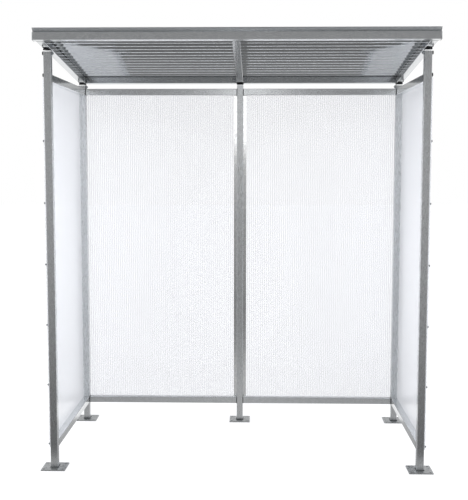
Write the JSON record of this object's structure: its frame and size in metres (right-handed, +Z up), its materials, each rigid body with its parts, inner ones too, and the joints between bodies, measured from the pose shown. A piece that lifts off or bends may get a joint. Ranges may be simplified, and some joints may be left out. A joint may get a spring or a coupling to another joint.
{
  "type": "smoking shelter",
  "caption": "Free-standing open-front smoking shelter: square galvanised tube frame on foot plates, twin-wall side and back sheets, corrugated roof falling to the back.",
  "frame": {"origin": "on the ground, under the middle of the roof", "axes": "+X to the right seen from the open front, -Y out through the open front, +Z up"},
  "size_m": [2.07, 1.2228, 2.2842],
  "materials": {
    "galvanised_tube": "galvanised, satin",
    "galvanised_plate": "galvanised, bright",
    "corrugated_sheet": "galvanised sheet, glossy",
    "twin_wall_sheet": "clear opal, fluted",
    "cap_plastic": "moulded"
  },
  "bodies": {
    "root": {"back_panel_left": "twin_wall_sheet", "back_panel_right": "twin_wall_sheet", "back_rail_bottom_left": "galvanised_tube", "back_rail_bottom_right": "galvanised_tube", "back_rail_top_left": "galvanised_tube", "back_rail_top_right": "galvanised_tube", "base_plate_back_centre": "galvanised_plate", "base_plate_back_left": "galvanised_plate", "base_plate_back_right": "galvanised_plate", "base_plate_front_left": "galvanised_plate", "base_plate_front_right": "galvanised_plate", "beam_bracket_left_inner": "galvanised_plate", "beam_bracket_left_outer": "galvanised_plate", "beam_bracket_right_inner": "galvanised_plate", "beam_bracket_right_outer": "galvanised_plate", "beam_cap_left": "cap_plastic", "beam_cap_right": "cap_plastic", "front_beam": "galvanised_tube", "landing_strip_left": "galvanised_plate", "landing_strip_right": "galvanised_plate", "post_back_centre": "galvanised_tube", "post_back_left": "galvanised_tube", "post_back_right": "galvanised_tube", "post_front_left": "galvanised_tube", "post_front_right": "galvanised_tube", "rafter_centre": "galvanised_tube", "rafter_left": "galvanised_tube", "rafter_right": "galvanised_tube", "rear_beam_left": "galvanised_tube", "rear_beam_right": "galvanised_tube", "roof_sheet": "corrugated_sheet", "side_panel_left": "twin_wall_sheet", "side_panel_right": "twin_wall_sheet", "side_rail_bottom_left": "galvanised_tube", "side_rail_bottom_right": "galvanised_tube", "side_rail_top_left": "galvanised_tube", "side_rail_top_right": "galvanised_tube", "spigot_back_centre": "cap_plastic", "spigot_back_left": "cap_plastic", "spigot_back_right": "cap_plastic", "spigot_front_left": "cap_plastic", "spigot_front_right": "cap_plastic"}
  },
  "joints": []
}
